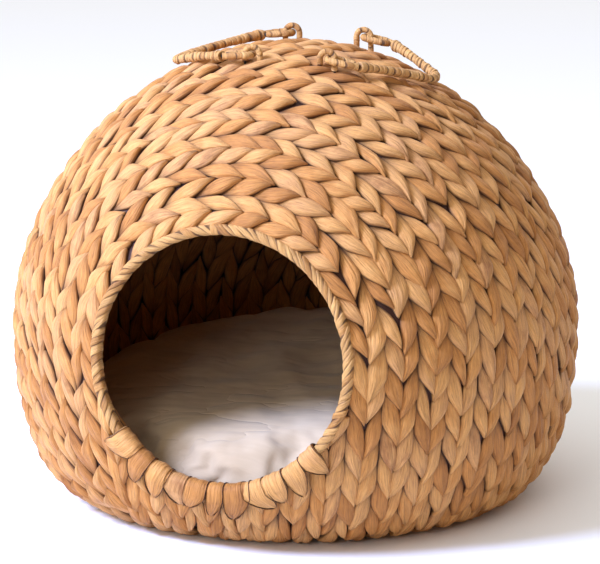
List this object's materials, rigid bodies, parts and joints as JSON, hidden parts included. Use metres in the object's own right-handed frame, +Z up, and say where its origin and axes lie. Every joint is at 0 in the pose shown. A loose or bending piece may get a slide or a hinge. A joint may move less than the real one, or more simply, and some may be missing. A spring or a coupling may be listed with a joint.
{
  "type": "wicker pet bed basket",
  "caption": "Domed cave bed for a cat or small dog, woven from water hyacinth over a wire frame, with a round mouth, a loose cushion and folding carrying handles.",
  "frame": {"origin": "centre of the flat underside, on the upright axis of the round body", "axes": "+Z up, the mouth faces -Y, +X to the right as seen from the mouth side looking along +Y"},
  "size_m": [0.4994, 0.4912, 0.4053],
  "materials": {
    "weave": "matte natural water hyacinth, plaited",
    "lining": "matte natural water hyacinth, in shade",
    "binding": "matte split water hyacinth, wound",
    "wire": "satin painted steel wire",
    "cushion": "matte woven cotton cover"
  },
  "bodies": {
    "root": {"weft_course_01": "weave", "weft_course_02": "weave", "weft_course_03": "weave", "weft_course_04": "weave", "weft_course_05": "weave", "weft_course_06": "weave", "weft_course_07": "weave", "weft_course_08": "weave", "weft_course_09": "weave", "weft_course_10": "weave", "weft_course_11": "weave", "weft_course_12": "weave", "weft_course_13": "weave", "weft_course_14": "weave", "weft_course_15": "weave", "weft_course_16": "weave", "weft_course_17": "weave", "weft_course_18": "weave", "weft_course_19": "weave", "weft_course_20": "weave", "weft_course_21": "weave", "weft_course_22": "weave", "front_apron_weave": "weave", "back_column_weave": "weave", "floor_weave": "weave", "floor_lining": "lining", "inner_weave": "lining", "mouth_binding": "binding", "mouth_ring": "wire", "lower_hoop": "wire", "middle_hoop": "wire", "upper_hoop": "wire", "base_hoop": "wire", "base_bar_left": "wire", "base_bar_right": "wire", "back_arch": "wire", "rib_1": "wire", "rib_2": "wire", "rib_3": "wire", "rib_4": "wire", "rib_5": "wire", "rib_6": "wire", "rib_7": "wire", "left_back_loop_wire": "wire", "left_back_loop_binding": "binding", "left_front_loop_wire": "wire", "left_front_loop_binding": "binding", "right_back_loop_wire": "wire", "right_back_loop_binding": "binding", "right_front_loop_wire": "wire", "right_front_loop_binding": "binding"},
    "left_handle": {"left_handle_wire": "wire", "left_handle_binding": "binding", "left_handle_back_eye": "binding", "left_handle_front_eye": "binding"},
    "right_handle": {"right_handle_wire": "wire", "right_handle_binding": "binding", "right_handle_back_eye": "binding", "right_handle_front_eye": "binding"},
    "cushion": {"cushion": "cushion"}
  },
  "joints": [
    {"name": "left_handle_swing", "type": "hinge", "parent": "root", "child": "left_handle", "pos_m": [-0.0205, -0.001, 0.3942], "axis": [0, 0.9992, 0.04], "range_deg": [0, 121]},
    {"name": "right_handle_swing", "type": "hinge", "parent": "root", "child": "right_handle", "pos_m": [0.0455, -0.001, 0.3924], "axis": [0, -0.9992, -0.04], "range_deg": [0, 125]},
    {"name": "cushion_lift", "type": "slide", "parent": "root", "child": "cushion", "axis": [0, 0, 1], "range_m": [0, 0.06]}
  ]
}
